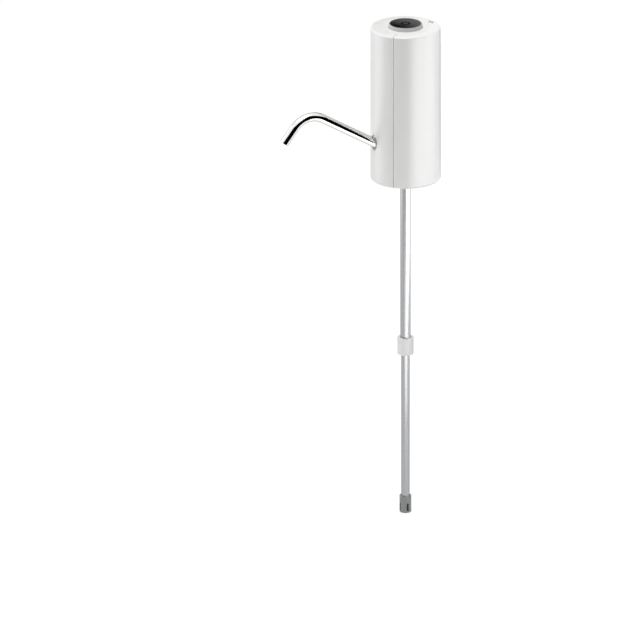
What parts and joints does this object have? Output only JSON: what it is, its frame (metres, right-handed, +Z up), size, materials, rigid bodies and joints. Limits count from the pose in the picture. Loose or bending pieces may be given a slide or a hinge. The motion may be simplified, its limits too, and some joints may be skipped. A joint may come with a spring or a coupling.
{
  "type": "electric wine aerator",
  "caption": "Electric wine aerator: upright white cylinder that plugs into a bottle's neck, with a push button on top, a bent steel spout and a telescopic dip tube.",
  "frame": {"origin": "centre of the bottle's mouth, on the plane where the lip seats under the stopper's flange", "axes": "+Z up along the body's axis; the spout points along -X; the charging socket faces +X"},
  "size_m": [0.1166, 0.048, 0.3564],
  "materials": {
    "white_cover": "satin moulded",
    "collar_plastic": "moulded",
    "light_ring": "translucent moulded",
    "button_black": "polished",
    "switch_plastic": "moulded",
    "circuit_board": "solder mask",
    "plated_steel": "nickel plated",
    "led_resin": "cast resin",
    "chassis_plastic": "moulded",
    "silicone": "moulded",
    "seal_rubber": "moulded",
    "grommet_silicone": "moulded",
    "pump_plastic": "moulded",
    "gear_plastic": "moulded",
    "polished_steel": "polished tube",
    "drawn_steel": "drawn tube",
    "machined_steel": "machined",
    "can_steel": "drawn and plated",
    "bronze": "sintered",
    "copper": "enamelled wire",
    "ferrite": "pressed",
    "wire_sleeve": "extruded",
    "cell_wrap": "shrink wrapped",
    "gland_plastic": "moulded",
    "strainer_plastic": "moulded"
  },
  "bodies": {
    "pump_head": {"rear_shell": "white_cover", "front_cover": "white_cover", "top_cap": "white_cover", "button_bezel": "light_ring", "tact_switch": "switch_plastic", "control_board": "circuit_board", "usb_socket": "plated_steel", "indicator_leds": "led_resin", "board_chips": "switch_plastic", "board_screws": "plated_steel", "chassis": "chassis_plastic", "shell_screws": "plated_steel", "neck_collar": "collar_plastic", "collar_screws": "plated_steel", "bottle_stopper": "silicone", "flow_block": "pump_plastic", "block_screws": "plated_steel", "inlet_o_ring": "seal_rubber", "aerator_jet": "pump_plastic", "air_valve": "silicone", "spout_o_ring": "seal_rubber", "spout_grommet": "grommet_silicone", "pump_gasket": "silicone", "port_plate": "machined_steel", "pump_housing": "pump_plastic", "idler_pin": "machined_steel", "shaft_seal": "seal_rubber", "motor_plate": "machined_steel", "pump_screws": "plated_steel", "motor_screws": "plated_steel", "motor_can": "can_steel", "motor_bushes": "bronze", "motor_magnets": "ferrite", "motor_brushes": "ferrite", "motor_end_cap": "switch_plastic", "motor_terminals": "bronze", "motor_leads": "wire_sleeve", "battery_cell": "cell_wrap", "battery_tabs": "plated_steel", "battery_leads": "wire_sleeve", "dip_tube_upper": "drawn_steel", "tube_gland": "gland_plastic", "gland_o_ring": "seal_rubber"},
    "button": {"button_cap": "button_black", "switch_plunger": "switch_plastic"},
    "spout": {"spout_tube": "polished_steel"},
    "rotor": {"motor_shaft": "machined_steel", "drive_gear": "gear_plastic", "armature": "machined_steel", "rotor_windings": "copper", "commutator": "copper"},
    "driven": {"driven_gear": "gear_plastic"},
    "lower_tube": {"dip_tube_lower": "drawn_steel", "intake_strainer": "strainer_plastic"}
  },
  "joints": [
    {"name": "button_press", "type": "slide", "parent": "pump_head", "child": "button", "axis": [0, 0, -1], "range_m": [0, 0.0008], "stiffness_N_per_m": 1500, "springref_m": -0.0006},
    {"name": "spout_swivel", "type": "hinge", "parent": "pump_head", "child": "spout", "pos_m": [-0.024, 0, 0.0168], "axis": [-0.8572, 0, 0.515], "range_deg": [-35, 35]},
    {"name": "pump_drive", "type": "hinge", "parent": "pump_head", "child": "rotor", "pos_m": [-0.007, 0, 0.025], "axis": [0, 0, 1], "continuous": true},
    {"name": "pump_driven", "type": "hinge", "parent": "pump_head", "child": "driven", "pos_m": [0.004, 0, 0.025], "axis": [0, 0, 1], "continuous": true},
    {"name": "tube_extend", "type": "slide", "parent": "pump_head", "child": "lower_tube", "axis": [0, 0, 1], "range_m": [0, 0.1]}
  ],
  "couplings": [
    {"joint": "pump_driven", "follows": "pump_drive", "ratio": -1}
  ]
}
